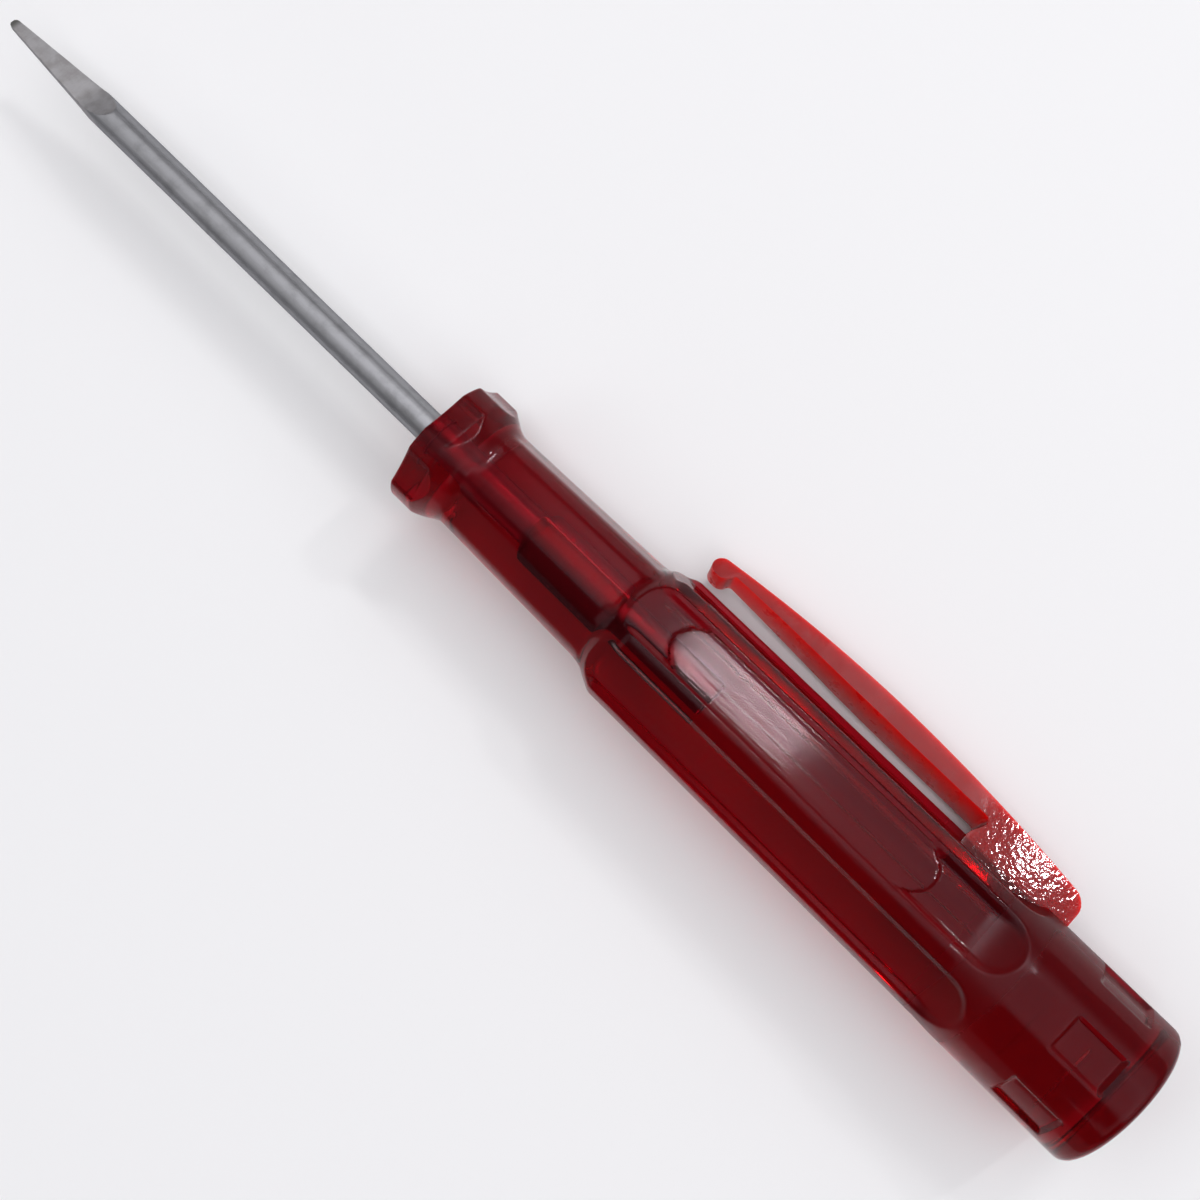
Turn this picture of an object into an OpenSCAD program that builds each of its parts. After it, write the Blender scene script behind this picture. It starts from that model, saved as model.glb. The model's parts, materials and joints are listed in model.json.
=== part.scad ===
// Pocket screwdriver: a round steel blade set in a moulded six-sided handle,
// with a moulded pocket clip pressed into a slot in the handle's side.
// Lengths are in millimetres. The blade lies along X with its tip at the +X end,
// and the origin is on its axis where it leaves the handle's front face.
// The tool lies as on a table, on its rear end and its clip, with the clip on the -Y side.

/* [Blade] */
// Diameter of the round shaft
shaft_d = 3; // [2.4:0.1:3.6]
// Length of blade that stands out of the handle
blade_reach = 59; // [50:1:80]
// Diameter of the tang inside the handle
tang_d = 2.6; // [2:0.1:2.6]
// Length of the tang inside the handle
tang_len = 33; // [28:1:45]
// Width across the tang's flattened wings
wing_w = 4.2; // [3.2:0.1:6]
// Thickness of the wings
wing_t = 1.7; // [1.2:0.1:2.4]
// Length of the wings
wing_len = 9.8; // [6:0.2:12]
// Distance from the handle's front face to the wings
wing_start = 12.3; // [9:0.1:16]

/* [Blade tip] */
// Length of the ground flat end
tip_len = 13.6; // [9:0.2:18]
// Length of the ramp from the round shaft down to the flat
tip_ramp_len = 1.5; // [0.8:0.1:3]
// Width of the tip at its end
tip_w = 0.9; // [0.6:0.1:2.4]
// Thickness of the tip at its end
tip_t = 0.5; // [0.3:0.05:0.8]
// Thickness of the flat where the ramp meets it
tip_root_t = 0.96; // [0.8:0.02:1.6]

/* [Handle] */
// Overall length of the handle
handle_len = 78.4; // [74:0.2:95]
// Diameter over the front collar's corners
collar_d = 13; // [11.6:0.1:14]
// Length of the collar's straight part
collar_land = 2.6; // [1.6:0.1:4]
// Length of the slope from the collar down to the neck
collar_slope = 2; // [1:0.1:3]
// Depth of the six shallow flutes round the collar
flute_depth = 0.55; // [0.2:0.05:1.2]
// Radius of each flute's hollow
flute_r = 16; // [4:0.5:40]
// Diameter of the neck behind the collar
neck_front_d = 10.5; // [9.6:0.1:11]
// Diameter of the neck in front of the shoulder
neck_rear_d = 11.2; // [10.4:0.1:12]
// Depth of the six flats along the neck
neck_flat_depth = 0.3; // [0.1:0.02:0.5]
// Distance from each end of the neck to its flats
neck_flat_inset = 0.5; // [0.3:0.1:2]
// Distance from the front face to the end of the neck
neck_end = 22.4; // [18:0.2:24]
// Length of the shoulder between the neck and the grip
shoulder_len = 2.4; // [1.4:0.1:3.4]
// Diameter over the grip's ridges at the shoulder
grip_d = 13.8; // [13:0.1:15]
// Diameter of the plain rear end
rear_d = 14.1; // [13:0.1:15.4]
// Length of the plain rear end
rear_len = 12.4; // [11:0.2:15]
// Radius of the rim round the butt
rim_r = 0.8; // [0.4:0.1:2.4]

/* [Grip pockets] */
// Width of each long pocket, open at the shoulder and round at its rear
pocket_w = 5.5; // [4:0.1:6]
// Depth of the pockets below the ridges
pocket_depth = 1; // [0.6:0.05:1.3]
// Distance from the pockets to the plain rear end
pocket_margin = 1.2; // [0.2:0.1:3]
// Distance from the shoulder to the bare raised panel in the top pocket
panel_setback = 2.55; // [1.2:0.05:4]
// Length of the panel
panel_len = 28.5; // [18:0.5:32]
// Height of the panel above the pocket's floor
panel_rise = 0.34; // [0.15:0.01:0.5]
// Width of the groove round the panel
panel_groove = 0.25; // [0.1:0.05:0.6]

/* [Butt recesses] */
// Width of each short recess near the butt
recess_w = 3.6; // [2.4:0.1:4.4]
// Length of each recess
recess_len = 5.1; // [3:0.1:6]
// Depth of each recess
recess_depth = 0.45; // [0.2:0.05:0.8]
// Distance from the recesses to the butt's end
recess_inset = 3.2; // [2:0.1:5]
// Angle of the recesses round from the pockets
recess_turn = 11.5; // [0:0.5:30]

/* [Clip] */
// Distance from the clip to the butt's end
clip_inset = 12.05; // [10.4:0.05:14]
// Overall length of the clip
clip_len = 41.85; // [38:0.05:44]
// Width of the clip at its foot
clip_w = 4.4; // [3.4:0.1:5]
// Width of the clip at its tip
clip_tip_w = 2.6; // [2:0.1:3.4]
// Height of the clip's crown above the grip's ridges
clip_rise = 4; // [3.6:0.1:5]
// Radius of the long curve along the clip's back
clip_back_r = 172; // [120:2:260]
// Gap between the ridge and the arm at its root
clip_gap = 2; // [1.6:0.1:2.4]
// Thickness of the arm beside the bead at its tip
clip_tip_t = 0.9; // [0.7:0.05:1.2]
// Diameter of the bead at the tip
bead_d = 2; // [1.6:0.1:2.4]
// Gap between the ridge and the bead
bead_gap = 1.3; // [1:0.1:1.6]
// Length of the clip's foot
foot_len = 10.75; // [9:0.05:13]
// Depth of the foot's slot below the ridge
foot_depth = 2.3; // [1.4:0.1:2.6]
// Radius of the foot's rear corner
foot_corner_r = 1.6; // [0.8:0.1:2.2]
// Radius where the arm's underside runs into the foot
root_fillet_r = 0.9; // [0.4:0.1:1]
// Distance from the front of the foot to the arm's flexing line
flex_offset = 1.6; // [1.4:0.1:2.4]

/* [Fits] */
// Clearance round the tang in the handle
tang_gap = 0.03; // [0.01:0.01:0.08]
// Clearance at each end of the clip's foot
foot_end_gap = 0.05; // [0.02:0.01:0.15]
// Clearance round the flexing line of the clip
flex_gap = 0.05; // [0.03:0.01:0.1]

/* [Hidden] */
$fn = 96;
sides = 6;
// How far every cut runs past the face that it cuts
overrun = 1;
// Where along the clip, from its tip, the crown is
crown_share = 0.46;

collar_r = collar_d / 2;
neck_front_r = neck_front_d / 2;
neck_rear_r = neck_rear_d / 2;
grip_r = grip_d / 2;
rear_r = rear_d / 2;
shaft_r = shaft_d / 2;
bead_r = bead_d / 2;
outside_r = max(collar_r, grip_r, rear_r) + overrun;

neck_start = collar_land + collar_slope;
grip_start = neck_end + shoulder_len;
rear_start = handle_len - rear_len;
pocket_start = neck_end - pocket_w / 2;
pocket_end = rear_start - pocket_margin;
pocket_floor = grip_r - pocket_depth;
panel_start = grip_start + panel_setback;
recess_start = handle_len - recess_inset - recess_len;
neck_slant = atan((neck_rear_r - neck_front_r) / (neck_end - neck_start));

// The clip is drawn by distance behind the front face and distance from the axis
clip_end = handle_len - clip_inset;
clip_start = clip_end - clip_len;
foot_start = clip_end - foot_len;
slot_floor = grip_r - foot_depth;
crown_at = clip_start + crown_share * clip_len;
crown_r = grip_r + clip_rise;
arm_under_r = grip_r + clip_gap;
bead_at = clip_start + bead_r;
bead_axis_r = grip_r + bead_gap + bead_r;
flex_at = foot_start - flex_offset;
flex_half = (back_r(flex_at) - arm_under_r) / 2;
flex_axis_r = arm_under_r + flex_half;
corner_at = clip_end - foot_corner_r;
corner_axis_r = back_r(corner_at) - foot_corner_r;

// How far the tool rolls towards its clip until rear end and clip lie on one level
crown_edge_r = norm([crown_r, clip_w / 2]);
rest_roll = 90 - atan(clip_w / 2 / crown_r) - acos(rear_r / crown_edge_r);

// Distance from the axis to the clip's back, at a distance behind the front face
function back_r(at) =
    crown_r - clip_back_r + sqrt(pow(clip_back_r, 2) - pow(at - crown_at, 2));

// Rolls the tool onto its clip
module lying() {
    rotate([rest_roll, 0, 0]) children();
}

// Turns shapes drawn along Z, back from the front face, into the part's frame
module along_axis() {
    lying() rotate([0, -90, 0]) children();
}

// A solid with round ends that stands on a floor at a distance from the axis
module round_ended(width, from, to, floor_r, top_r) {
    mid_len = to - from - width;
    translate([floor_r, -width / 2, from + width / 2])
        cube([top_r - floor_r, width, mid_len]);
    for (at = [from + width / 2, to - width / 2])
        translate([floor_r, 0, at])
            rotate([0, 90, 0])
                cylinder(d = width, h = top_r - floor_r);
}

module handle_blank() {
    rotate_extrude() {
        polygon([
            [0, 0],
            [collar_r, 0],
            [collar_r, collar_land],
            [neck_front_r, neck_start],
            [neck_rear_r, neck_end],
            [grip_r, grip_start],
            [rear_r, rear_start],
            [rear_r, handle_len - rim_r],
            [rear_r - rim_r, handle_len],
            [0, handle_len]
        ]);
        translate([rear_r - rim_r, handle_len - rim_r]) circle(r = rim_r);
    }
}

module collar_flute() {
    translate([collar_r - flute_depth + flute_r, 0, -overrun])
        cylinder(r = flute_r, h = neck_start + overrun);
}

module neck_flat() {
    translate([neck_front_r - neck_flat_depth, 0, neck_start])
        rotate([0, neck_slant, 0])
            translate([0, -neck_rear_r, neck_flat_inset])
                cube([neck_rear_r, neck_rear_d, neck_end - neck_start - 2 * neck_flat_inset]);
}

module grip_pocket() {
    round_ended(pocket_w, pocket_start, pocket_end, pocket_floor, outside_r);
}

module butt_recess() {
    translate([rear_r - recess_depth, -recess_w / 2, recess_start])
        cube([outside_r, recess_w, recess_len]);
}

module panel() {
    round_ended(pocket_w - 2 * panel_groove, panel_start, panel_start + panel_len,
        pocket_floor - overrun, pocket_floor + panel_rise);
}

module tang_hole() {
    translate([0, 0, -overrun])
        cylinder(d = tang_d + 2 * tang_gap, h = tang_len + overrun);
    translate([0, 0, wing_start + wing_len / 2])
        cube([wing_t + 2 * tang_gap, wing_w + 2 * tang_gap, wing_len + 2 * tang_gap],
            center = true);
}

module foot_slot() {
    translate([-clip_w / 2, -outside_r, foot_start - foot_end_gap])
        cube([clip_w, outside_r - slot_floor, foot_len + 2 * foot_end_gap]);
}

module handle() {
    color([0.45, 0.02, 0.06])
        along_axis() {
            difference() {
                handle_blank();
                for (i = [0 : sides - 1])
                    rotate([0, 0, i * 360 / sides]) {
                        collar_flute();
                        neck_flat();
                        grip_pocket();
                        rotate([0, 0, recess_turn]) butt_recess();
                    }
                tang_hole();
                foot_slot();
            }
            panel();
        }
}

// The ground end seen from its edge, which sets the thickness
module tip_side_outline() {
    ramp_at = tip_len - blade_reach;
    flat_at = ramp_at - tip_ramp_len;
    for (flip = [0, 1])
        mirror([flip, 0])
            polygon([
                [0, overrun],
                [shaft_d, overrun],
                [shaft_d, ramp_at],
                [shaft_r, ramp_at],
                [tip_root_t / 2, flat_at],
                [tip_t / 2, -blade_reach],
                [0, -blade_reach]
            ]);
}

// The ground end seen face on, which sets the width
module tip_face_outline() {
    taper_at = tip_len - tip_ramp_len - blade_reach;
    for (flip = [0, 1])
        mirror([flip, 0])
            polygon([
                [0, overrun],
                [shaft_d, overrun],
                [shaft_d, taper_at],
                [shaft_r, taper_at],
                [tip_w / 2, -blade_reach],
                [0, -blade_reach]
            ]);
}

module blade() {
    color([0.72, 0.72, 0.74])
        along_axis() {
            intersection() {
                translate([0, 0, -blade_reach]) cylinder(d = shaft_d, h = blade_reach);
                rotate([90, 0, 0])
                    linear_extrude(2 * shaft_d, center = true) tip_side_outline();
                rotate([90, 0, 90])
                    linear_extrude(2 * shaft_d, center = true) tip_face_outline();
            }
            cylinder(d = tang_d, h = tang_len);
            translate([0, 0, wing_start + wing_len / 2])
                cube([wing_t, wing_w, wing_len], center = true);
        }
}

// A strip of the clip's plane under its curved back
module under_back(from, to, low_r) {
    intersection() {
        translate([crown_at, crown_r - clip_back_r])
            circle(r = clip_back_r, $fn = 720);
        translate([from, low_r]) square([to - from, crown_r - low_r + overrun]);
    }
}

// Gives an outline in the clip's plane its width, narrower towards the tip
module clip_solid() {
    lying() rotate([0, 0, 180])
        intersection() {
            linear_extrude(2 * clip_w, center = true) children();
            rotate([90, 0, 0])
                linear_extrude(4 * crown_r, center = true)
                    polygon([
                        [clip_start - overrun, clip_tip_w / 2],
                        [crown_at, clip_w / 2],
                        [clip_end + overrun, clip_w / 2],
                        [clip_end + overrun, -clip_w / 2],
                        [crown_at, -clip_w / 2],
                        [clip_start - overrun, -clip_tip_w / 2]
                    ]);
        }
}

// The arm's underside rises from the crown to the bead
module arm_underside() {
    top_r = crown_r + overrun;
    polygon([
        [bead_at, back_r(bead_at) - clip_tip_t],
        [crown_at, arm_under_r],
        [flex_at, arm_under_r],
        [flex_at, top_r],
        [bead_at, top_r]
    ]);
}

module clip_arm() {
    color([0.72, 0.13, 0.13])
        clip_solid() {
            intersection() {
                under_back(bead_at, flex_at, arm_under_r);
                arm_underside();
            }
            translate([bead_at, bead_axis_r]) circle(r = bead_r);
            translate([flex_at, flex_axis_r]) circle(r = flex_half);
        }
}

module clip_foot() {
    color([0.72, 0.13, 0.13])
        clip_solid() {
            difference() {
                union() {
                    under_back(flex_at, foot_start, arm_under_r);
                    under_back(foot_start, corner_at, slot_floor);
                    translate([foot_start, slot_floor])
                        square([foot_len, corner_axis_r - slot_floor]);
                    translate([corner_at, corner_axis_r]) circle(r = foot_corner_r);
                    root_fillet();
                }
                translate([flex_at, flex_axis_r]) circle(r = flex_half + flex_gap);
            }
        }
}

module root_fillet() {
    translate([foot_start - root_fillet_r, arm_under_r - root_fillet_r])
        difference() {
            square(root_fillet_r);
            circle(r = root_fillet_r);
        }
}

handle();
blade();
clip_foot();
clip_arm();
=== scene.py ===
import json
import math
import bmesh
import bpy
from mathutils import Euler, Matrix, Vector


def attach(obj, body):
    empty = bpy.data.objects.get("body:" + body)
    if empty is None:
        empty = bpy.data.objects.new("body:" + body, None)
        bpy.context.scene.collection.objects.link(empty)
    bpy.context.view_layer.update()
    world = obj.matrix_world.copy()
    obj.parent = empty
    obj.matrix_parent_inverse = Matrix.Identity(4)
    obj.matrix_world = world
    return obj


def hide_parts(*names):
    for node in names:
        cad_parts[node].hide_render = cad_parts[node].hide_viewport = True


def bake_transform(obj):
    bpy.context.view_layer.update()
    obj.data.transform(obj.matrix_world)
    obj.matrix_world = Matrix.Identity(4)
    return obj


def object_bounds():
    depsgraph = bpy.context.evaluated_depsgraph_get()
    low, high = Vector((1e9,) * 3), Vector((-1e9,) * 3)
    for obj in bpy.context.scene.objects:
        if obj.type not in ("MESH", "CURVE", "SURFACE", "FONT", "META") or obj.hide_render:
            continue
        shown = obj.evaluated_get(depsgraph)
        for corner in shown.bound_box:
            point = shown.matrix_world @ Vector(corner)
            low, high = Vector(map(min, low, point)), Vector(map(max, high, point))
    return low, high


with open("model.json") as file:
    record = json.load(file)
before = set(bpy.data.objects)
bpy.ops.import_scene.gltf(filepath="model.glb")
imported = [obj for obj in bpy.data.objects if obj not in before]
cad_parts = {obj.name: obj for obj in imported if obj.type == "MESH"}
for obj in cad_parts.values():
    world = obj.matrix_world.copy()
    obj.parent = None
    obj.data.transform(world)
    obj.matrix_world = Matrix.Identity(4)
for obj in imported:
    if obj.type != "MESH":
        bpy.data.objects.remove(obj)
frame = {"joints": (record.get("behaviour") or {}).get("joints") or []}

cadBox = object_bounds()
scene = bpy.context.scene
scene.view_settings.view_transform = "Standard"
mm = 0.001
weldDistance, cutDistance = 1e-4, 1e-4    # mm

# the tool is modelled in mm with its panel up, then rolled onto its clip as the frame is
flexJoint = frame["joints"][0]
restRoll = math.atan2(flexJoint["axis"][1], -flexJoint["axis"][2])
rollOver = Matrix.Rotation(restRoll, 4, "X")
layDown = rollOver @ Matrix.Scale(mm, 4)

photoCamera = {
    "location": (-41.2, 40.05, 123.26), "rotation": (19.169, -5.908, -135.315),   # mm and degrees, panel up
    "lens": 45.66, "sensor": 36.0, "clipStart": 0.005,
}


def addCamera(values):
    data = bpy.data.cameras.new("photoCamera")
    data.lens = values["lens"]
    data.sensor_width = values["sensor"]
    data.clip_start = values["clipStart"]
    camera = bpy.data.objects.new("photoCamera", data)
    aim = Euler([math.radians(turn) for turn in values["rotation"]]).to_matrix().to_4x4()
    camera.matrix_world = rollOver @ Matrix.Translation(Vector(values["location"]) * mm) @ aim
    scene.collection.objects.link(camera)
    scene.camera = camera


addCamera(photoCamera)
print("camera set")


def smoothStep(low, high, value):
    t = min(max((value - low) / (high - low), 0.0), 1.0)
    return t * t * (3.0 - 2.0 * t)


def softMin(a, b, blend):
    h = max(blend - abs(a - b), 0.0) / blend
    return min(a, b) - h * h * blend * 0.25


def wholeMesh(bm):
    return bm.verts[:] + bm.edges[:] + bm.faces[:]


def vertsIn(items):
    return [item for item in items if isinstance(item, bmesh.types.BMVert)]


def wireChain(bm, points):
    verts = [bm.verts.new(point) for point in points]
    for first, second in zip(verts, verts[1:]):
        bm.edges.new((first, second))
    return verts


def roundCorner(bm, vert, size, segments):
    bmesh.ops.bevel(bm, geom=[vert], offset=size, offset_type="OFFSET", segments=segments,
                    profile=0.5, affect="VERTICES", material=-1)


def refineWire(bm, stepAt):
    for edge in list(bm.edges):
        cuts = math.ceil(edge.calc_length() / stepAt(edge)) - 1
        if cuts > 0:
            bmesh.ops.subdivide_edges(bm, edges=[edge], cuts=cuts)


def weld(bm):
    bmesh.ops.remove_doubles(bm, verts=bm.verts, dist=weldDistance)
    bmesh.ops.recalc_face_normals(bm, faces=bm.faces)


def spinAboutAxis(bm, steps):
    bmesh.ops.spin(bm, geom=wholeMesh(bm), cent=(0, 0, 0), axis=(1, 0, 0),
                   angle=math.tau, steps=steps, use_merge=True)
    weld(bm)


def cutAcross(bm, geom, point, normal):
    bmesh.ops.bisect_plane(bm, geom=geom, dist=cutDistance, plane_co=point, plane_no=normal)


def finishPiece(bm, name, material, sharpAngle):
    bmesh.ops.transform(bm, matrix=layDown, verts=bm.verts)
    mesh = bpy.data.meshes.new(name)
    bm.to_mesh(mesh)
    bm.free()
    mesh.shade_smooth()
    mesh.set_sharp_from_angle(angle=math.radians(sharpAngle))
    mesh.materials.append(material)
    piece = bpy.data.objects.new(name, mesh)
    scene.collection.objects.link(piece)
    print(name, "has", sum(len(face.vertices) - 2 for face in mesh.polygons), "triangles")
    return piece


def newTree(owner):
    owner.use_nodes = True
    owner.node_tree.nodes.clear()
    return owner.node_tree


def put(tree, kind, inputs=None, **settings):
    node = tree.nodes.new(kind)
    for key, value in settings.items():
        setattr(node, key, value)
    for key, value in (inputs or {}).items():
        if isinstance(value, bpy.types.NodeSocket):
            tree.links.new(value, node.inputs[key])
        else:
            node.inputs[key].default_value = value
    return node


def calc(tree, operation, first, second=0.0):
    return put(tree, "ShaderNodeMath", {0: first, 1: second}, operation=operation).outputs[0]


def allOf(tree, first, *others):
    for other in others:
        first = calc(tree, "MULTIPLY", first, other)
    return first


def span(tree, value, low, high, newLow=0.0, newHigh=1.0):
    return put(tree, "ShaderNodeMapRange", {"Value": value, "From Min": low, "From Max": high,
               "To Min": newLow, "To Max": newHigh}, interpolation_type="SMOOTHSTEP").outputs[0]


def mixValue(tree, share, first, second):
    return put(tree, "ShaderNodeMix", {0: share, 2: first, 3: second}, data_type="FLOAT").outputs[0]


def mixColour(tree, share, first, second):
    return put(tree, "ShaderNodeMix", {0: share, 6: first, 7: second}, data_type="RGBA").outputs[2]


def toolPlace(tree, stretch=(1.0, 1.0, 1.0)):
    # millimetres along the tool's own axes, panel up
    place = put(tree, "ShaderNodeTexCoord").outputs["Object"]
    upright = put(tree, "ShaderNodeMapping", {"Vector": place, "Rotation": (-restRoll, 0, 0)}).outputs[0]
    return put(tree, "ShaderNodeMapping", {"Vector": upright, "Scale": [s / mm for s in stretch]}).outputs[0]


def splitPlace(tree, place):
    return put(tree, "ShaderNodeSeparateXYZ", {0: place}).outputs


def speckle(tree, stretch, scale, detail, roughness):
    return put(tree, "ShaderNodeTexNoise", {"Vector": toolPlace(tree, stretch), "Scale": scale,
               "Detail": detail, "Roughness": roughness}).outputs["Fac"]


def bumpFrom(tree, height, strength, distance):
    return put(tree, "ShaderNodeBump", {"Height": height, "Strength": strength,
               "Distance": distance * mm}).outputs[0]


def output(tree, surface, volume=None):
    sockets = {"Surface": surface.outputs[0]}
    if volume is not None:
        sockets["Volume"] = volume.outputs[0]
    put(tree, "ShaderNodeOutputMaterial", sockets)


studio = {
    "floorColour": (0.9, 0.9, 0.9, 1), "floorSize": 3.0, "floorDrop": 0.00002,
    "skyBright": (2.25, 2.23, 2.32, 1), "skyDark": (0.04, 0.04, 0.04, 1),
    # where the sky is bright: an axis, where the light fades in along it, and its share at both ends
    "clipSky": (("Y", 0.22, 0.04), ("Z", 0.25, 0.6), ("X", 0.34, 0.2), ("X", -0.2, 0.0, 0.65, 1.0)),
    "tipSky": (("X", 0.28, 0.4), ("Z", 0.15, 0.35), ("Y", -0.75, -0.6), ("X", 0.8, 0.66, 0.0, 0.22)),
    "lowSky": (("Z", 0.41, 0.36, 0.0, 0.11),),
    # place and size in metres, watts
    "wideLamps": {
        "buttLamp": ((-0.63, 0, 1.08), (2.0, 0.36), 1.5),
        "tipLamp": ((0.67, 0, 1.0), (2.0, 0.64), 2.3),
    },
    # place and target in mm on the tool's own axes, size in metres, watts
    "smallLamps": {
        "windowLamp": ((-8, -173.6, 496.4), (-34, 0, 6), (0.064, 0.036), 0.28),
        "clipLamp": ((-137, -200, 457), (-61, -8.5, 2.2), (0.015, 0.02), 0.22),
    },
}


def addFloor(values):
    bm = bmesh.new()
    bmesh.ops.create_grid(bm, x_segments=1, y_segments=1, size=values["floorSize"] / 2)
    bmesh.ops.translate(bm, verts=bm.verts, vec=(0, 0, cadBox[0].z - values["floorDrop"]))
    mesh = bpy.data.meshes.new("paleFloor")
    bm.to_mesh(mesh)
    bm.free()
    floor = bpy.data.objects.new("paleFloor", mesh)
    scene.collection.objects.link(floor)
    material = bpy.data.materials.new("paleFloor")
    tree = newTree(material)
    output(tree, put(tree, "ShaderNodeBsdfDiffuse", {"Color": values["floorColour"]}))
    mesh.materials.append(material)


def addSky(values):
    scene.world = bpy.data.worlds.new("studioSky")
    tree = newTree(scene.world)
    split = splitPlace(tree, put(tree, "ShaderNodeTexCoord").outputs["Generated"])
    # bright over the clip's side, and beyond the tip on the other side, grey low down all round, dark elsewhere
    bright = 0.0
    for patch in ("clipSky", "tipSky", "lowSky"):
        fades = [span(tree, split[axis], *limits) for axis, *limits in values[patch]]
        bright = calc(tree, "MAXIMUM", bright, allOf(tree, *fades))
    colour = mixColour(tree, bright, values["skyDark"], values["skyBright"])
    sky = put(tree, "ShaderNodeBackground", {"Color": colour, "Strength": 1.0})
    put(tree, "ShaderNodeOutputWorld", {"Surface": sky.outputs[0]})


def addLamp(name, location, target, size, power):
    data = bpy.data.lights.new(name, "AREA")
    data.shape = "RECTANGLE"
    data.size, data.size_y = size
    data.energy = power
    lamp = bpy.data.objects.new(name, data)
    lamp.location = location
    lamp.rotation_euler = (target - location).to_track_quat("-Z", "Y").to_euler()
    lamp.visible_camera = False
    scene.collection.objects.link(lamp)


addFloor(studio)
addSky(studio)
middle = Vector(((cadBox[0].x + cadBox[1].x) / 2, 0, 0))
for name, (place, size, power) in studio["wideLamps"].items():
    addLamp(name, Vector(place), middle, size, power)
for name, (place, target, size, power) in studio["smallLamps"].items():
    addLamp(name, layDown @ Vector(place), layDown @ Vector(target), size, power)
print("stage lit")


bladeValues = {
    # shape in mm
    "shaftRadius": 1.5, "reach": 59.0,
    "tangRadius": 1.3, "tangLength": 33.0, "tangStart": 0.05, "tangRound": 0.3, "tangSegments": 3,
    "wingStart": 12.3, "wingEnd": 22.1, "wingHalfWidth": 2.1, "wingHalfThickness": 0.85, "wingSquareness": 2.6,
    "wingFadeOut": 0.5, "wingFadeIn": 0.3,
    "grindStart": 44.3, "grindRun": 4.2, "grindSpread": 1.03,       # the hollow left by the wheel
    "rootHalfThickness": 0.5, "endHalfThickness": 0.25, "endHalfWidth": 0.45, "endRound": 0.5, "endNarrow": 0.55,
    "grindBlend": 0.05, "fineLead": 0.4,
    "columns": 160, "coarseStep": 1.5, "tangStep": 0.4, "tipStep": 0.12, "sharpAngle": 30,
    # steel, with each grain as stretch, scale, detail and roughness
    "edgeTint": (0.45, 0.45, 0.47, 1),
    "plateTints": ((0.34, 0.34, 0.355, 1), (0.27, 0.27, 0.28, 1)), "plateStain": (0.42, 0.75),
    "bareTints": ((0.45, 0.44, 0.45, 1), (0.34, 0.325, 0.325, 1)), "bareStain": (0.35, 0.7),
    "endTint": (0.14, 0.14, 0.13, 1), "endFade": (1.0, 0.2),
    # painted shade on the wings: a lighter and a near-black tint across them, and where it starts along the tang
    "wingShadeTints": ((0.3, 0.28, 0.28, 1), (0.03, 0.028, 0.028, 1)), "wingShadeAcross": (0.2, 1.0),
    "wingShadeAlong": (-11.0, -12.3),
    "drawnGrain": ((0.05, 3.0, 3.0), 2.2, 4, 0.6), "wheelGrain": ((2.2, 0.5, 1.0), 2.4, 5, 0.65),
    "stainGrain": ((1.0, 1.0, 1.0), 0.6, 5, 0.62), "grainSpan": (0.3, 0.7), "groundSpan": (0.3, 0.7),
    "plateRough": (0.34, 0.42), "bareRough": (0.4, 0.55), "plateBump": 0.06, "bareBump": 0.14, "bumpDepth": 0.04,
}


def platedSteel(values):
    material = bpy.data.materials.new("platedSteel")
    tree = newTree(material)
    split = splitPlace(tree, toolPlace(tree))
    along, across = split["X"], split["Y"]
    mask = put(tree, "ShaderNodeAttribute", attribute_name="ground").outputs["Fac"]
    ground = span(tree, mask, *values["groundSpan"])
    drawn = speckle(tree, *values["drawnGrain"])       # lines from drawing the bar
    strokes = speckle(tree, *values["wheelGrain"])     # lines from the wheel
    stain = speckle(tree, *values["stainGrain"])
    plate = mixColour(tree, span(tree, stain, *values["plateStain"]), *values["plateTints"])
    bare = mixColour(tree, span(tree, stain, *values["bareStain"]), *values["bareTints"])
    atEnd = span(tree, along, *[values["reach"] - before for before in values["endFade"]])
    bare = mixColour(tree, atEnd, bare, values["endTint"])
    # painted shade: one side of the stamped wings is painted near black as if in shade, the other side a lighter grey
    shadedWings = mixColour(tree, span(tree, across, *values["wingShadeAcross"]), *values["wingShadeTints"])
    plateAndWingShade = mixColour(tree, span(tree, along, *values["wingShadeAlong"]), plate, shadedWings)
    plateRough = span(tree, drawn, *values["grainSpan"], *values["plateRough"])
    bareRough = span(tree, strokes, *values["grainSpan"], *values["bareRough"])
    relief = mixValue(tree, ground, drawn, strokes)
    strength = mixValue(tree, ground, values["plateBump"], values["bareBump"])
    steel = put(tree, "ShaderNodeBsdfPrincipled", {
        "Base Color": mixColour(tree, ground, plateAndWingShade, bare), "Metallic": 1.0, "Specular Tint": values["edgeTint"],
        "Roughness": mixValue(tree, ground, plateRough, bareRough),
        "Normal": bumpFrom(tree, relief, strength, values["bumpDepth"])})
    output(tree, steel)
    return material


def groundRadius(values, x, sine, cosine):
    # how far the grinding left the tip, in the direction given
    tiny = 1e-6
    root = values["shaftRadius"] * values["grindSpread"]
    share = (x - values["grindStart"]) / (values["reach"] - values["grindStart"])
    hollow = max(1 - (x - values["grindStart"]) / values["grindRun"], 0.0) ** 2
    thick = values["rootHalfThickness"] + share * (values["endHalfThickness"] - values["rootHalfThickness"])
    thick += hollow * (values["shaftRadius"] - values["rootHalfThickness"])
    wide = root + share * (values["endHalfWidth"] - root)
    left = values["reach"] - x
    if left < values["endRound"]:
        corner = 1 - left / values["endRound"]
        wide *= values["endNarrow"] + (1 - values["endNarrow"]) * math.sqrt(1 - corner * corner)
    return softMin(thick / max(abs(cosine), tiny), wide / max(abs(sine), tiny), values["grindBlend"])


def wingRadius(values, sine, cosine):
    power = values["wingSquareness"]
    across = (abs(sine) / values["wingHalfWidth"]) ** power + (abs(cosine) / values["wingHalfThickness"]) ** power
    return across ** (-1 / power)


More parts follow.
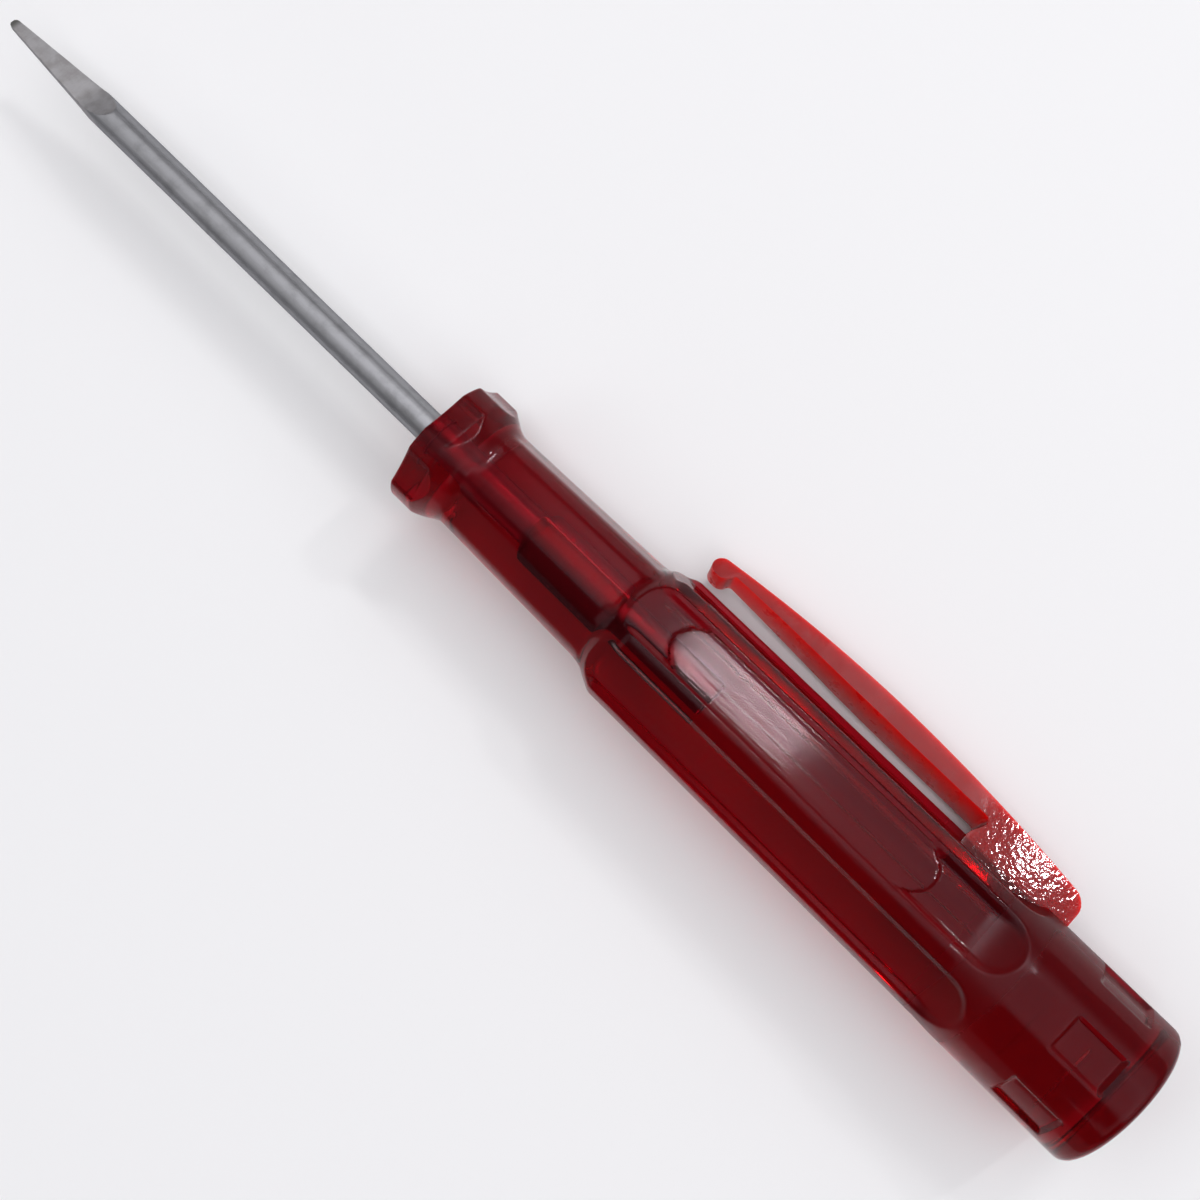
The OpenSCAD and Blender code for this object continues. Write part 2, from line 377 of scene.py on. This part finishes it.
def buildBlade(values, material):
    bm = bmesh.new()
    tangEnd, tangStart, reach = -values["tangLength"], -values["tangStart"], values["reach"]
    fineFrom = values["grindStart"] - values["fineLead"]
    chain = wireChain(bm, [
        (tangEnd, 0, 0), (tangEnd, 0, values["tangRadius"]), (tangStart, 0, values["tangRadius"]),
        (tangStart, 0, values["shaftRadius"]), (fineFrom, 0, values["shaftRadius"]),
        (reach, 0, values["shaftRadius"]), (reach, 0, 0)])
    roundCorner(bm, chain[1], values["tangRound"], values["tangSegments"])

    def stepAt(edge):
        x = (edge.verts[0].co.x + edge.verts[1].co.x) / 2
        return values["tipStep"] if x > fineFrom else values["tangStep"] if x < 0 else values["coarseStep"]

    refineWire(bm, stepAt)
    spinAboutAxis(bm, values["columns"])
    groundMask = bm.verts.layers.float.new("ground")
    onAxis = 0.05
    fadeOut, fadeIn = values["wingFadeOut"], values["wingFadeIn"]
    for vert in bm.verts:
        x, y, z = vert.co
        radius = math.hypot(y, z)
        if radius < onAxis:
            continue
        newRadius = radius
        if x > values["grindStart"]:
            newRadius = min(radius, groundRadius(values, x, y / radius, z / radius))
            vert[groundMask] = 1.0 if newRadius < radius else 0.0
        wings = smoothStep(values["wingStart"] - fadeOut, values["wingStart"] + fadeIn, -x)
        wings *= 1 - smoothStep(values["wingEnd"] - fadeIn, values["wingEnd"] + fadeOut, -x)
        if wings > 0:
            newRadius += wings * (wingRadius(values, y / radius, z / radius) - newRadius)
        vert.co = (x, y * newRadius / radius, z * newRadius / radius)
    weld(bm)    # rings that the grinding brought together at the tip's end
    piece = finishPiece(bm, "steelBlade", material, values["sharpAngle"])
    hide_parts("blade")
    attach(piece, "handle")


buildBlade(bladeValues, platedSteel(bladeValues))


handleValues = {
    # shape in mm and degrees
    "length": 78.4, "boreRadius": 1.28, "boreLength": 32.9,         # a little tight, so no film of air shows
    "collarRadius": 6.5, "collarLand": 2.6, "fluteFloor": 5.95, "fluteRadius": 16.0,
    "neckStart": 4.6, "neckFrontRadius": 5.25, "neckEnd": 22.4, "neckRearRadius": 5.6,
    "flatDepth": 0.3, "flatBlend": 0.14, "flatFront": (-0.2, 1.2), "flatRear": (-0.6, 1.0),
    "gripStart": 24.8, "gripRadius": 6.9, "rearStart": 66.0, "rearRadius": 7.05,
    "faceRound": 0.25, "collarRound": 0.2, "neckFrontRound": 0.6, "neckRearRound": 1.0, "shoulderRound": 0.35,
    "rimRadius": 0.8, "roundSegments": 4, "edgeBlend": 0.04, "margin": 1.0,
    "pocketStart": 19.65, "pocketEnd": 64.8, "pocketRunOut": 3.8, "runOutPower": 1.5, "pocketHalfWidth": 2.75,
    "pocketFloor": 5.9, "pocketWall": (-0.6, 0.06),
    "panelStart": 27.35, "panelEnd": 55.85, "panelHalfWidth": 2.5, "panelLevel": 6.24, "panelWall": (-0.16, 0.04),
    "recessStart": 70.1, "recessEnd": 75.2, "recessHalfWidth": 1.8, "recessCorner": 0.2, "recessFloor": 6.6,
    "recessTurn": 11.5, "recessHollow": 0.6, "recessWall": (-0.4, 0.05),
    "slotStart": 55.62, "slotEnd": 66.33, "slotHalfWidth": 2.18, "slotFloor": 4.62, "slotMargin": 1.5,
    "slotRegion": 3.5,
    "columns": 240, "ringStep": 0.3, "fineRingStep": 0.15, "faceStep": 0.8, "boreStep": 2.0, "sharpAngle": 38,
    "fineSpans": ((0, 5.5), (22.2, 30.2), (53.0, 56.2), (61.0, 65.2), (69.8, 75.5)),
    # clear red plastic, with each grain as stretch, scale, detail and roughness
    "tint": (0.75, 0.02, 0.05, 1), "sheenTint": (0.5, 0.42, 0.46, 1), "clearness": 0.97, "ior": 1.33,
    "depthColour": (0.64, 0.14, 0.16, 1), "density": 200.0,
    "hazeGrain": ((1.0, 1.0, 1.0), 0.35, 4, 0.6), "hazeSpan": (0.42, 0.75),
    "scuffGrain": ((0.5, 5.0, 2.5), 0.9, 5, 0.7), "scuffSpan": (0.5, 0.78), "wornRough": (0.0, 0.6, 0.07, 0.2),
    "panelFace": (6.02, 6.14), "panelFront": (-26.8, -27.4), "panelRear": (-56.4, -55.8),
    "streakGrain": ((0.14, 2.4, 1.0), 1.0, 4, 0.6), "panelRough": (0.3, 0.7, 0.05, 0.1),
    "rampFront": (-60.2, -61.4), "rampRear": (-66.0, -65.0), "rampRough": 0.22,
    "collarRear": (-5.2, -4.2), "collarRough": 0.16,
    "clipAlong": (-52.5, -55.0), "clipDown": (-4.4, -5.4), "besideClipRough": 0.4,
    "rippleGrain": ((1.0, 1.0, 1.0), 0.35, 1, 0.5), "bumpStrength": 0.2, "bumpDepth": 0.05,
}


def clearRedPlastic(values):
    material = bpy.data.materials.new("clearRedPlastic")
    tree = newTree(material)
    split = splitPlace(tree, toolPlace(tree))
    haze = span(tree, speckle(tree, *values["hazeGrain"]), *values["hazeSpan"])
    scuffs = span(tree, speckle(tree, *values["scuffGrain"]), *values["scuffSpan"])
    worn = allOf(tree, haze, scuffs)
    # the raised panel is rubbed along its length
    panel = allOf(tree, span(tree, split["Z"], *values["panelFace"]), span(tree, split["X"], *values["panelFront"]),
                  span(tree, split["X"], *values["panelRear"]))
    streaks = speckle(tree, *values["streakGrain"])
    rubbed = span(tree, streaks, *values["panelRough"])
    rough = mixValue(tree, panel, span(tree, worn, *values["wornRough"]), rubbed)
    # the pockets' run-outs and the collar are more matte, and so is the ridge beside the clip
    ramps = allOf(tree, span(tree, split["X"], *values["rampFront"]), span(tree, split["X"], *values["rampRear"]))
    rough = calc(tree, "ADD", rough, calc(tree, "MULTIPLY", ramps, values["rampRough"]))
    rough = mixValue(tree, span(tree, split["X"], *values["collarRear"]), rough, values["collarRough"])
    besideClip = allOf(tree, span(tree, split["X"], *values["clipAlong"]),
                       span(tree, split["Y"], *values["clipDown"]))
    rough = mixValue(tree, besideClip, rough, values["besideClipRough"])
    relief = mixValue(tree, panel, speckle(tree, *values["rippleGrain"]), streaks)
    plastic = put(tree, "ShaderNodeBsdfPrincipled", {
        "Base Color": values["tint"], "Roughness": rough, "IOR": values["ior"],
        "Transmission Weight": values["clearness"], "Specular Tint": values["sheenTint"],
        "Normal": bumpFrom(tree, relief, values["bumpStrength"], values["bumpDepth"])})
    depth = put(tree, "ShaderNodeVolumeAbsorption", {"Color": values["depthColour"], "Density": values["density"]})
    output(tree, plastic, depth)
    return material


def stadium(along, across, start, end, half):
    # distance outside a bar with round ends, negative inside it
    nearest = min(max(along, start + half), end - half)
    return math.hypot(along - nearest, across) - half


def roundedBox(along, across, start, end, half, corner):
    a = abs(along - (start + end) / 2) - (end - start) / 2 + corner
    c = abs(across) - half + corner
    return math.hypot(max(a, 0), max(c, 0)) + min(max(a, c), 0) - corner


def fluteReach(values, lean):
    # how far out the collar's hollow flute lets the plastic go
    centre, hollow = values["fluteFloor"] + values["fluteRadius"], values["fluteRadius"]
    under = hollow ** 2 - (centre * math.sin(lean)) ** 2
    return centre * math.cos(lean) - math.sqrt(under) if under > 0 else centre


def handleRadius(values, behind, turn, radius):
    sixth = math.radians(60)
    side = round(turn / sixth)
    lean = turn - side * sixth
    blend, margin = values["edgeBlend"], values["margin"]
    if behind < values["neckStart"]:
        hollow = fluteReach(values, lean)
        if behind < values["collarLand"]:
            bore, collar = values["boreRadius"], values["collarRadius"]
            radius = bore + (radius - bore) * (softMin(collar, hollow, blend) - bore) / (collar - bore)
        else:
            radius = softMin(radius, hollow, blend)
    flats = smoothStep(*[values["neckStart"] + edge for edge in values["flatFront"]], behind)
    flats *= 1 - smoothStep(*[values["neckEnd"] + edge for edge in values["flatRear"]], behind)
    if flats > 0:
        share = (behind - values["neckStart"]) / (values["neckEnd"] - values["neckStart"])
        level = values["neckFrontRadius"] + share * (values["neckRearRadius"] - values["neckFrontRadius"])
        pressed = softMin(radius, (level - values["flatDepth"]) / math.cos(lean), values["flatBlend"])
        radius += flats * (pressed - radius)
    across = radius * math.sin(lean)
    if values["pocketStart"] - margin < behind < values["pocketEnd"] + margin:
        gap = stadium(behind, across, values["pocketStart"], values["pocketEnd"], values["pocketHalfWidth"])
        sunk = 1 - smoothStep(*values["pocketWall"], gap)
        rise = max(1 - (values["pocketEnd"] - behind) / values["pocketRunOut"], 0.0) ** values["runOutPower"]
        level = values["pocketFloor"] + rise * (values["rearRadius"] - values["pocketFloor"])
        floor = softMin(level / math.cos(lean), radius, blend)
        if side == 0:
            gap = stadium(behind, across, values["panelStart"], values["panelEnd"], values["panelHalfWidth"])
            raised = 1 - smoothStep(*values["panelWall"], gap)
            panel = min(values["panelLevel"] / math.cos(lean), radius)
            floor += raised * (panel - floor)
        radius += sunk * (floor - radius)
    if values["recessStart"] - margin < behind < values["recessEnd"] + margin:
        lean = turn - math.radians(values["recessTurn"])
        lean -= round(lean / sixth) * sixth
        gap = roundedBox(behind, radius * math.sin(lean), values["recessStart"], values["recessEnd"],
                         values["recessHalfWidth"], values["recessCorner"])
        sunk = 1 - smoothStep(*values["recessWall"], gap)
        floor = min(values["recessFloor"] / math.cos(lean * values["recessHollow"]), radius)
        radius += sunk * (floor - radius)
    return radius


def cutSlot(bm, values):
    # the place of the clip's foot, straight down into the handle's side
    start, end, half = values["slotStart"], values["slotEnd"], values["slotHalfWidth"]
    margin, region = values["slotMargin"], values["slotRegion"]

    def nearSlot(centre):
        return centre.y < -region and abs(centre.z) < region and start - margin < -centre.x < end + margin

    planes = [((-start, 0, 0), (1, 0, 0)), ((-end, 0, 0), (1, 0, 0)),
              ((0, 0, half), (0, 0, 1)), ((0, 0, -half), (0, 0, 1))]
    for point, normal in planes:
        faces = [face for face in bm.faces if nearSlot(face.calc_center_median())]
        edges = list(dict.fromkeys(edge for face in faces for edge in face.edges))
        verts = list(dict.fromkeys(vert for face in faces for vert in face.verts))
        cutAcross(bm, verts + edges + faces, point, normal)
    inside = []
    for face in bm.faces:
        centre = face.calc_center_median()
        if nearSlot(centre) and abs(centre.z) < half and start < -centre.x < end:
            inside.append(face)
    grown = bmesh.ops.extrude_face_region(bm, geom=inside)["geom"]
    bmesh.ops.delete(bm, geom=[face for face in inside if face.is_valid], context="FACES")
    for vert in vertsIn(grown):
        vert.co.y = -values["slotFloor"]
    bmesh.ops.dissolve_faces(bm, faces=[item for item in grown if isinstance(item, bmesh.types.BMFace)])
    bmesh.ops.recalc_face_normals(bm, faces=bm.faces)


def buildHandle(values, material):
    bm = bmesh.new()
    # distance behind the front face, radius and rounding of each corner
    corners = [
        (values["boreLength"], 0.0, 0), (values["boreLength"], values["boreRadius"], 0),
        (0.0, values["boreRadius"], 0), (0.0, values["collarRadius"], values["faceRound"]),
        (values["collarLand"], values["collarRadius"], values["collarRound"]),
        (values["neckStart"], values["neckFrontRadius"], values["neckFrontRound"]),
        (values["neckEnd"], values["neckRearRadius"], values["neckRearRound"]),
        (values["gripStart"], values["gripRadius"], values["shoulderRound"]),
        (values["rearStart"], values["rearRadius"], 0), (values["length"], values["rearRadius"], values["rimRadius"]),
        (values["length"], 0.0, 0)]
    chain = wireChain(bm, [(-behind, 0, radius) for behind, radius, _ in corners])
    for vert, (_, _, size) in zip(chain, corners):
        if size:
            roundCorner(bm, vert, size, values["roundSegments"])
    # short cuts first where small forms need them
    for low, high in values["fineSpans"]:
        for at in (low, high):
            cutAcross(bm, wholeMesh(bm), (-at, 0, 0), (1, 0, 0))

    def stepAt(edge):
        a, b = edge.verts[0].co, edge.verts[1].co
        behind = -(a.x + b.x) / 2
        if max(a.z, b.z) < values["boreRadius"] + 0.01:
            return values["boreStep"]
        if abs(a.x - b.x) < cutDistance:
            return values["faceStep"]
        fine = any(low < behind < high for low, high in values["fineSpans"])
        return values["fineRingStep"] if fine else values["ringStep"]

    refineWire(bm, stepAt)
    spinAboutAxis(bm, values["columns"])
    for vert in bm.verts:
        x, y, z = vert.co
        radius = math.hypot(y, z)
        if radius > values["boreRadius"] + 0.1:
            scale = handleRadius(values, -x, math.atan2(y, z), radius) / radius
            vert.co = (x, y * scale, z * scale)
    cutSlot(bm, values)
    piece = finishPiece(bm, "clearHandle", material, values["sharpAngle"])
    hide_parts("handle")
    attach(piece, "handle")


buildHandle(handleValues, clearRedPlastic(handleValues))


clipValues = {
    # shape in mm and degrees
    "crown": (43.75, 10.9), "backRadius": 172.0,
    "end": 66.35, "footStart": 55.6, "footBottom": 4.6, "footLean": 1.0, "cornerRadius": 1.3, "footRound": 0.2,
    "ridge": 6.9, "underside": 8.9, "rootFillet": 1.0, "undersideRound": 4.0,
    "tipCentre": (25.5, 9.2), "tipRadius": 1.0, "tipThickness": 0.9, "tipRound": 0.85,
    "neckBehind": 1.25, "neckLevelBehind": 1.4, "neckRound": 0.3, "beadBehind": 0.85, "beadRound": 0.6,
    "halfWidth": 2.2, "tipHalfWidth": 1.3, "taperPower": 1.35, "roundSegments": 6,
    "edge": 0.14, "edgeSegments": 3, "edgeAngle": 50, "flankInset": 0.05,
    "bendStart": 56.6, "bendEnd": 51.0, "slice": 1.2, "paintedGlowFade": (0.5, 0.9), "sharpAngle": 40,
    # milky red plastic, with each grain as stretch, scale, detail and roughness
    # besides the plastic's own tint: a painted red glow for faces turned to the handle
    "tint": (0.27, 0.018, 0.018, 1), "sheenTint": (0.45, 0.38, 0.4, 1), "paintedGlowTint": (0.55, 0.014, 0.012, 1),
    # painted shade for the part of the foot inside the slot, and where it fades out
    "slotShadeTint": (0.1, 0.006, 0.006, 1), "slotShadeFade": (-6.5, -6.0), "footFade": (-52.0, -57.0),
    "milk": 1.0, "ior": 1.36, "glowReach": (1.0, 0.1, 0.09), "glowScale": 6.0,
    "wearGrain": ((1.0, 1.0, 1.0), 0.8, 3, 0.5), "armRough": (0.3, 0.7, 0.26, 0.34), "footRough": 0.05,
    "skinGrain": ((1.0, 1.0, 1.0), 2.0, 1, 0.5), "armBump": 0.02, "footBump": 0.075, "bumpDepth": 0.16,
}


def milkyRedPlastic(values):
    material = bpy.data.materials.new("milkyRedPlastic")
    tree = newTree(material)
    split = splitPlace(tree, toolPlace(tree))
    onFoot = span(tree, split["X"], *values["footFade"])
    under = put(tree, "ShaderNodeAttribute", attribute_name="under").outputs["Fac"]
    # painted glow: faces turned towards the handle get a brighter red that stands in for light coming through
    tint = mixColour(tree, under, values["tint"], values["paintedGlowTint"])
    # painted shade: the foot is painted dark where it sits down inside the handle's slot
    tint = mixColour(tree, span(tree, split["Y"], *values["slotShadeFade"]), tint, values["slotShadeTint"])
    armRough = span(tree, speckle(tree, *values["wearGrain"]), *values["armRough"])
    strength = span(tree, onFoot, 0.0, 1.0, values["armBump"], values["footBump"])
    plastic = put(tree, "ShaderNodeBsdfPrincipled", {
        "Base Color": tint, "IOR": values["ior"], "Specular Tint": values["sheenTint"],
        "Subsurface Weight": values["milk"], "Subsurface Radius": values["glowReach"],
        "Subsurface Scale": values["glowScale"] * mm,
        "Roughness": mixValue(tree, onFoot, armRough, values["footRough"]),
        "Normal": bumpFrom(tree, speckle(tree, *values["skinGrain"]), strength, values["bumpDepth"])})
    output(tree, plastic)
    return material


def backHeight(values, behind):
    crownAt, crownHeight = values["crown"]
    reach = values["backRadius"]
    return crownHeight - reach + math.sqrt(reach ** 2 - (behind - crownAt) ** 2)


def buildClip(values, material):
    bm = bmesh.new()
    crownAt, end, underside = values["crown"][0], values["end"], values["underside"]
    tipAt, tipHeight = values["tipCentre"]
    tipRadius, tipEnd = values["tipRadius"], tipAt - values["tipRadius"]
    neckHeight = backHeight(values, tipAt + values["neckLevelBehind"]) - values["tipThickness"]
    # distance behind the handle's front face, height and rounding of each corner
    outline = [
        (tipEnd, backHeight(values, tipEnd), values["tipRound"]),
        (end, backHeight(values, end), values["cornerRadius"]),
        (end, values["footBottom"], 0.0),
        (values["footStart"], values["footBottom"], 0.0),
        (values["footStart"], values["ridge"], values["footRound"]),
        (values["footStart"] + values["footLean"], underside, values["rootFillet"]),
        (crownAt, underside, values["undersideRound"]),
        (tipAt + values["neckBehind"], neckHeight, values["neckRound"]),
        (tipAt + values["beadBehind"], tipHeight - tipRadius, values["beadRound"]),
        (tipEnd, tipHeight - tipRadius, values["tipRound"]),
    ]
    verts = [bm.verts.new((-behind, -height, 0)) for behind, height, _ in outline]
    bm.faces.new(verts)
    for vert, (_, _, size) in zip(verts, outline):
        if size:
            roundCorner(bm, vert, size, values["roundSegments"])
    walls = bmesh.ops.extrude_face_region(bm, geom=bm.faces[:])["geom"]
    bmesh.ops.translate(bm, verts=vertsIn(walls), vec=(0, 0, 2 * values["halfWidth"]))
    bmesh.ops.translate(bm, verts=bm.verts, vec=(0, 0, -values["halfWidth"]))
    bmesh.ops.recalc_face_normals(bm, faces=bm.faces)
    at = tipEnd + values["slice"]
    while at < end:
        cutAcross(bm, wholeMesh(bm), (-at, 0, 0), (1, 0, 0))
        at += values["slice"]
    straight = backHeight(values, tipEnd)
    rise = (backHeight(values, end) - straight) / (end - tipEnd)
    for vert in bm.verts:
        behind, height = -vert.co.x, -vert.co.y
        chord = straight + rise * (behind - tipEnd)
        top = backHeight(values, min(max(behind, tipEnd), end))
        # the back follows its long curve, and the underside stays
        lift = smoothStep(underside, chord, height) if height > underside else 0.0
        vert.co.y -= (top - chord) * lift
        share = min(max((crownAt - behind) / (crownAt - tipEnd), 0.0), 1.0) ** values["taperPower"]
        vert.co.z *= 1 + share * (values["tipHalfWidth"] / values["halfWidth"] - 1)
    rims = [edge for edge in bm.edges if edge.calc_face_angle(0) > math.radians(values["edgeAngle"])]
    bmesh.ops.bevel(bm, geom=rims, offset=values["edge"], offset_type="OFFSET", segments=values["edgeSegments"],
                    profile=0.5, affect="EDGES", clamp_overlap=True, material=-1)
    bm.normal_update()
    # a narrow inset keeps the flanks shaded flat
    flanks = [face for face in bm.faces if abs(face.normal.z) > 0.999]
    bmesh.ops.inset_region(bm, faces=flanks, thickness=values["flankInset"], use_even_offset=True)
    weld(bm)
    bm.normal_update()
    paintedGlowMask = bm.verts.layers.float.new("under")
    for vert in bm.verts:
        vert[paintedGlowMask] = smoothStep(*values["paintedGlowFade"], vert.normal.y)     # painted glow: faces turned to the handle are painted redder, as if light came through
    piece = finishPiece(bm, "pocketClip", material, values["sharpAngle"])
    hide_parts("clip_foot", "clip_arm")
    height = math.hypot(flexJoint["pos_m"][1], flexJoint["pos_m"][2]) / mm
    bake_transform(piece)


buildClip(clipValues, milkyRedPlastic(clipValues))
